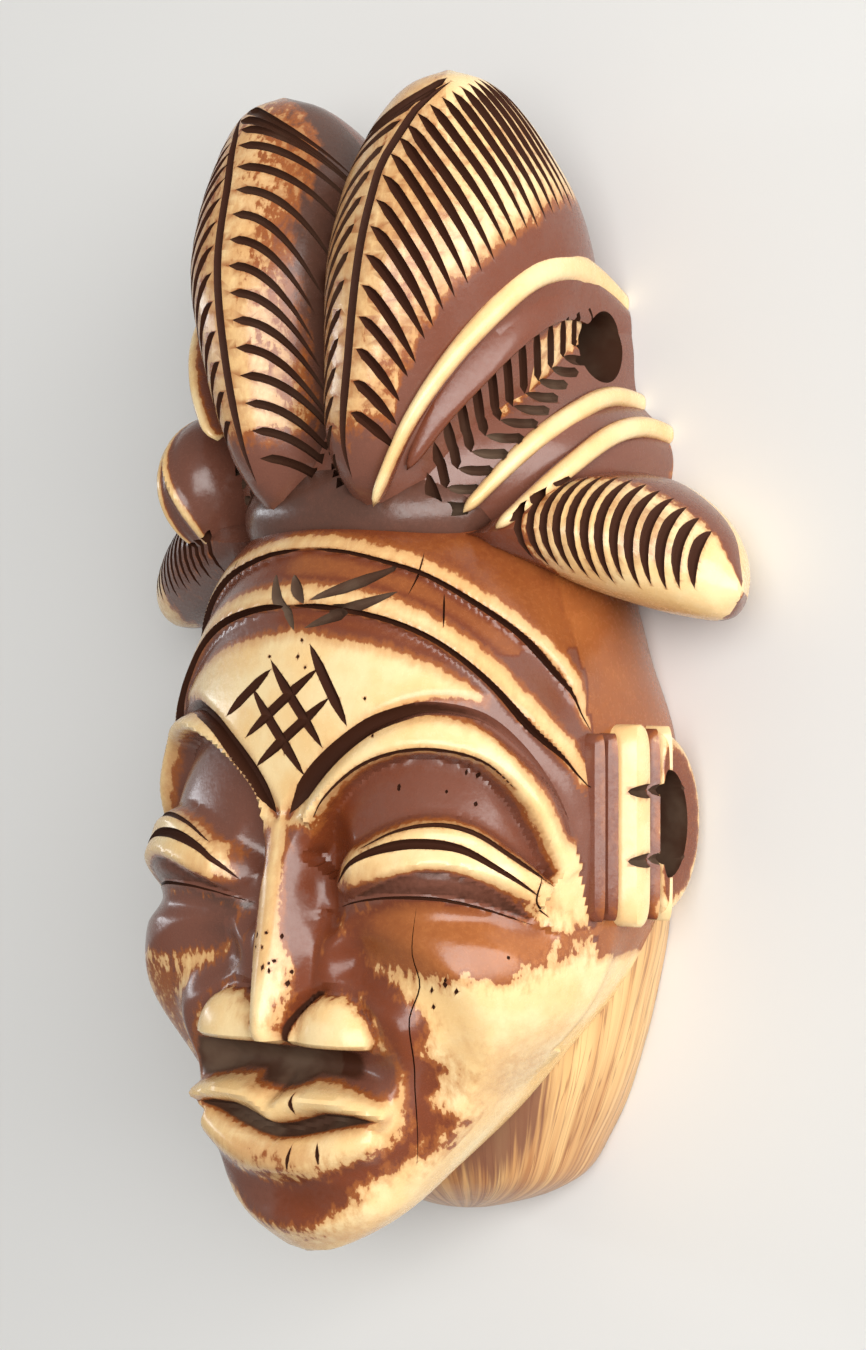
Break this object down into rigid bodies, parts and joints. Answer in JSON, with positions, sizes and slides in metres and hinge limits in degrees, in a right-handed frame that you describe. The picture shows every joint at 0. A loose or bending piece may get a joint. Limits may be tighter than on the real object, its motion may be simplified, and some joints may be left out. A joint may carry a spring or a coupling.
{
  "type": "miniature mask",
  "caption": "Small carved mask with a long face, banded fringe, tall fluted hair coils, scooped side coils and block ears, lying face up on a flat back with a cord hole behind the coils.",
  "frame": {"origin": "centre of the bounding box, on the flat back that the mask lies on", "axes": "+X to the pictured ear side, +Y from the chin to the crown, +Z out of the face"},
  "size_m": [0.064, 0.0994, 0.0337],
  "materials": {
    "polished_bone": "hand polished bone-like carving, cream on the high places, orange-brown to dark brown in the cuts"
  },
  "bodies": {
    "root": {"miniature_mask": "polished_bone"}
  },
  "joints": []
}
